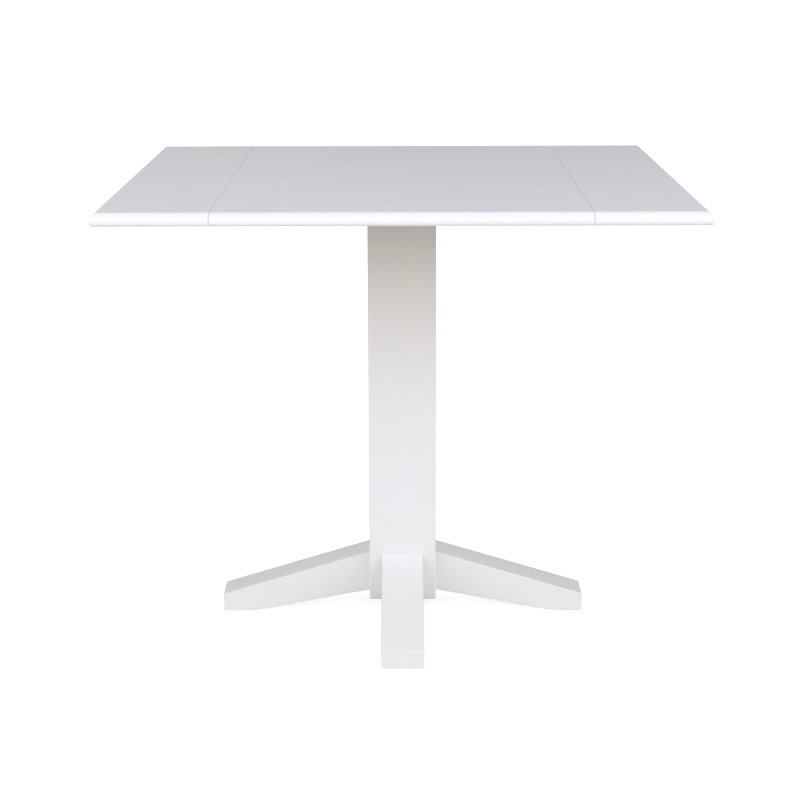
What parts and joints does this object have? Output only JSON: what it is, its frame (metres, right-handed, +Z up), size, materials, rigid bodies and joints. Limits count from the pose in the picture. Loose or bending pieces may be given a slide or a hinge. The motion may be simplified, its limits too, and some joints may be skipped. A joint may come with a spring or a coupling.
{
  "type": "drop leaf table",
  "caption": "Square pedestal dining table with a hinged drop leaf on each side, a boxed column and tapered feet in a cross.",
  "frame": {"origin": "on the floor under the centre of the column", "axes": "+Z up, -Y to the front, the leaves at -X and +X, turning about pins along Y"},
  "size_m": [0.914, 0.914, 0.762],
  "materials": {
    "painted_wood": "satin white paint over sanded hardwood, the underside of the top sealed only",
    "bare_wood": "sanded and sealed, unpainted",
    "plated_steel": "bright zinc plate on pressed sheet",
    "fastener_steel": "zinc plate",
    "brass": "turned",
    "nylon": "moulded nylon"
  },
  "bodies": {
    "table_frame": {"cleat_front": "bare_wood", "cleat_rear": "bare_wood", "cleat_screws": "fastener_steel", "column_board_front": "painted_wood", "column_board_left": "painted_wood", "column_board_rear": "painted_wood", "column_board_right": "painted_wood", "column_top_block": "bare_wood", "foot_bolt_washers": "fastener_steel", "foot_bolts": "fastener_steel", "foot_front": "painted_wood", "foot_glides": "nylon", "foot_inserts": "brass", "foot_left": "painted_wood", "foot_rear": "painted_wood", "foot_right": "painted_wood", "hinge_left_front_frame_plate": "plated_steel", "hinge_left_middle_frame_plate": "plated_steel", "hinge_left_rear_frame_plate": "plated_steel", "hinge_pins": "plated_steel", "hinge_right_front_frame_plate": "plated_steel", "hinge_right_middle_frame_plate": "plated_steel", "hinge_right_rear_frame_plate": "plated_steel", "mounting_plate": "bare_wood", "plate_screws": "fastener_steel", "screws_top": "fastener_steel", "stay_left_front_bracket": "plated_steel", "stay_left_rear_bracket": "plated_steel", "stay_pivot_rivets": "plated_steel", "stay_right_front_bracket": "plated_steel", "stay_right_rear_bracket": "plated_steel", "stay_spring_washers": "plated_steel", "top_bolt_washers": "fastener_steel", "top_bolts": "fastener_steel", "top_inserts": "brass", "top_panel": "painted_wood"},
    "left_leaf": {"hinge_left_front_leaf_plate": "plated_steel", "hinge_left_middle_leaf_plate": "plated_steel", "hinge_left_rear_leaf_plate": "plated_steel", "leaf_left": "painted_wood", "screws_leaf_left": "fastener_steel", "stay_left_front_slide": "plated_steel", "stay_left_rear_slide": "plated_steel"},
    "right_leaf": {"hinge_right_front_leaf_plate": "plated_steel", "hinge_right_middle_leaf_plate": "plated_steel", "hinge_right_rear_leaf_plate": "plated_steel", "leaf_right": "painted_wood", "screws_leaf_right": "fastener_steel", "stay_right_front_slide": "plated_steel", "stay_right_rear_slide": "plated_steel"},
    "left_front_arm": {"stay_left_front_arm": "plated_steel", "stay_left_front_pin": "plated_steel"},
    "left_rear_arm": {"stay_left_rear_arm": "plated_steel", "stay_left_rear_pin": "plated_steel"},
    "right_front_arm": {"stay_right_front_arm": "plated_steel", "stay_right_front_pin": "plated_steel"},
    "right_rear_arm": {"stay_right_rear_arm": "plated_steel", "stay_right_rear_pin": "plated_steel"}
  },
  "joints": [
    {"name": "left_leaf_hinge", "type": "hinge", "parent": "table_frame", "child": "left_leaf", "pos_m": [-0.2815, 0, 0.7379], "axis": [0, -1, 0], "range_deg": [0, 90]},
    {"name": "right_leaf_hinge", "type": "hinge", "parent": "table_frame", "child": "right_leaf", "pos_m": [0.2815, 0, 0.7379], "axis": [0, 1, 0], "range_deg": [0, 90]},
    {"name": "left_front_arm_pivot", "type": "hinge", "parent": "table_frame", "child": "left_front_arm", "pos_m": [-0.2575, -0.17, 0.7139], "axis": [0, -1, 0], "range_deg": [0, 90]},
    {"name": "left_rear_arm_pivot", "type": "hinge", "parent": "table_frame", "child": "left_rear_arm", "pos_m": [-0.2575, 0.17, 0.7139], "axis": [0, -1, 0], "range_deg": [0, 90]},
    {"name": "right_front_arm_pivot", "type": "hinge", "parent": "table_frame", "child": "right_front_arm", "pos_m": [0.2575, -0.17, 0.7139], "axis": [0, 1, 0], "range_deg": [0, 90]},
    {"name": "right_rear_arm_pivot", "type": "hinge", "parent": "table_frame", "child": "right_rear_arm", "pos_m": [0.2575, 0.17, 0.7139], "axis": [0, 1, 0], "range_deg": [0, 90]}
  ],
  "couplings": [
    {"joint": "left_front_arm_pivot", "follows": "left_leaf_hinge", "ratio": 1},
    {"joint": "left_rear_arm_pivot", "follows": "left_leaf_hinge", "ratio": 1},
    {"joint": "right_front_arm_pivot", "follows": "right_leaf_hinge", "ratio": 1},
    {"joint": "right_rear_arm_pivot", "follows": "right_leaf_hinge", "ratio": 1}
  ]
}
